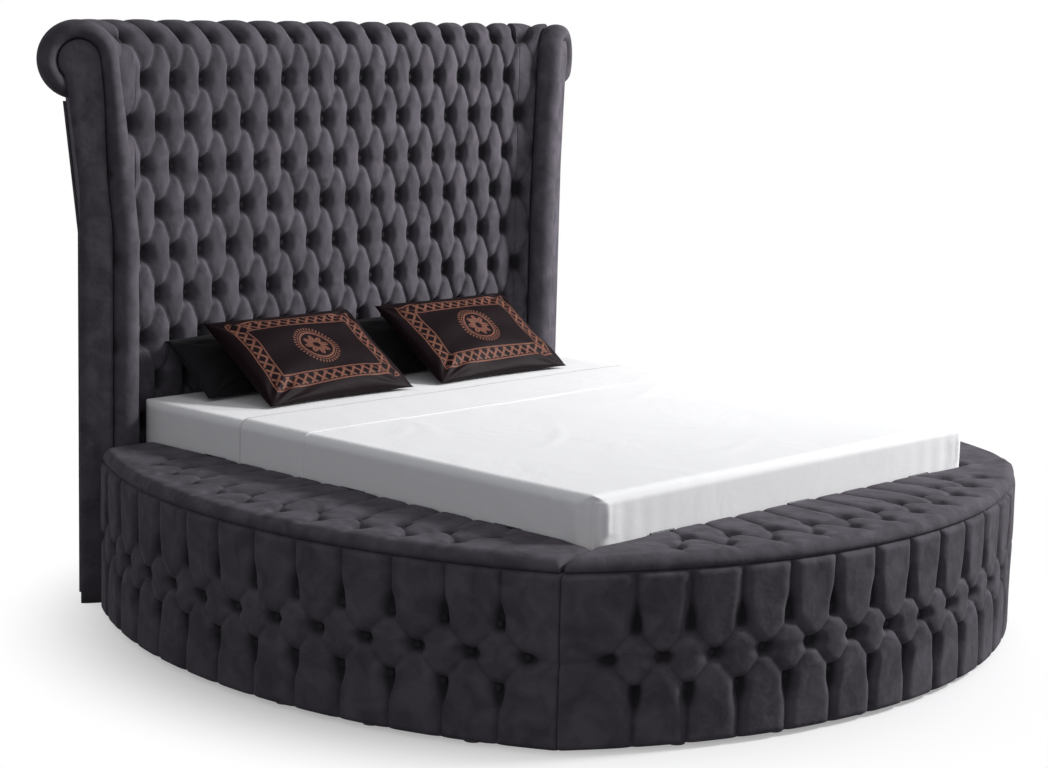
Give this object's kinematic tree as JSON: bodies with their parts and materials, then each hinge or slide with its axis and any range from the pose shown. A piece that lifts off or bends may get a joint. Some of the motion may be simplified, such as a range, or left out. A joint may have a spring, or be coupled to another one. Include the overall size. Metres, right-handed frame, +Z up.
{
  "type": "round upholstered storage bed",
  "caption": "Round tufted velvet bed with a tall winged headboard, mattress, pillows and three hinged bench lids over storage.",
  "frame": {"origin": "On the floor, under the middle of the bed's bounding box.", "axes": "+Z up, -Y towards the foot, +X to the right of someone who stands at the foot and looks at the headboard."},
  "size_m": [2.742, 2.705, 1.88],
  "materials": {
    "charcoal_velvet": "velvet",
    "velvet_buttons": "velvet",
    "plywood": "raw",
    "solid_wood": "raw",
    "hinge_steel": "zinc plated",
    "glide_plastic": "matte",
    "mattress_foam": "knit",
    "white_cotton": "matte",
    "brown_satin": "satin",
    "black_cotton": "matte"
  },
  "bodies": {
    "bed": {"left_bench_wall": "plywood", "left_bench_cover": "charcoal_velvet", "left_bench_buttons": "velvet_buttons", "left_bench_floor": "plywood", "left_bench_ends": "plywood", "left_inner_wall": "plywood", "right_bench_wall": "plywood", "right_bench_cover": "charcoal_velvet", "right_bench_buttons": "velvet_buttons", "right_bench_floor": "plywood", "right_bench_ends": "plywood", "right_inner_wall": "plywood", "foot_bench_wall": "plywood", "foot_bench_cover": "charcoal_velvet", "foot_bench_buttons": "velvet_buttons", "foot_bench_floor": "plywood", "foot_bench_ends": "plywood", "foot_inner_wall": "plywood", "fixed_hinge_leaves": "hinge_steel", "hinge_pins": "hinge_steel", "slat_ledges": "solid_wood", "bed_slats": "solid_wood", "middle_beam": "solid_wood", "beam_legs": "solid_wood", "headboard_tie_rails": "solid_wood", "tie_bolts": "hinge_steel", "floor_glides": "glide_plastic", "headboard_core": "plywood", "headboard_cushion": "charcoal_velvet", "headboard_buttons": "velvet_buttons", "roll_formers": "plywood", "headboard_back_cover": "charcoal_velvet", "wing_outer_covers": "charcoal_velvet", "left_wing_core": "plywood", "left_wing_cushion": "charcoal_velvet", "left_wing_border_roll": "charcoal_velvet", "left_wing_front_panel": "charcoal_velvet", "right_wing_core": "plywood", "right_wing_cushion": "charcoal_velvet", "right_wing_border_roll": "charcoal_velvet", "right_wing_front_panel": "charcoal_velvet", "mattress": "mattress_foam", "fitted_sheet": "white_cotton", "folded_top_sheet": "white_cotton", "left_front_pillow": "brown_satin", "right_front_pillow": "brown_satin", "left_back_pillow": "black_cotton", "right_back_pillow": "black_cotton"},
    "left_lid": {"left_lid_board": "plywood", "left_lid_cushion": "charcoal_velvet", "left_lid_buttons": "velvet_buttons", "left_lid_hinge_leaves": "hinge_steel"},
    "right_lid": {"right_lid_board": "plywood", "right_lid_cushion": "charcoal_velvet", "right_lid_buttons": "velvet_buttons", "right_lid_hinge_leaves": "hinge_steel"},
    "foot_lid": {"foot_lid_board": "plywood", "foot_lid_cushion": "charcoal_velvet", "foot_lid_buttons": "velvet_buttons", "foot_lid_hinge_leaves": "hinge_steel"}
  },
  "joints": [
    {"name": "left_lid_hinge", "type": "hinge", "parent": "bed", "child": "left_lid", "pos_m": [-0.908, 0.0175, 0.535], "axis": [0, 1, 0], "range_deg": [0, 70]},
    {"name": "right_lid_hinge", "type": "hinge", "parent": "bed", "child": "right_lid", "pos_m": [0.908, 0.0175, 0.535], "axis": [0, -1, 0], "range_deg": [0, 70]},
    {"name": "foot_lid_hinge", "type": "hinge", "parent": "bed", "child": "foot_lid", "pos_m": [0, -0.9355, 0.535], "axis": [-1, 0, 0], "range_deg": [0, 70]}
  ]
}
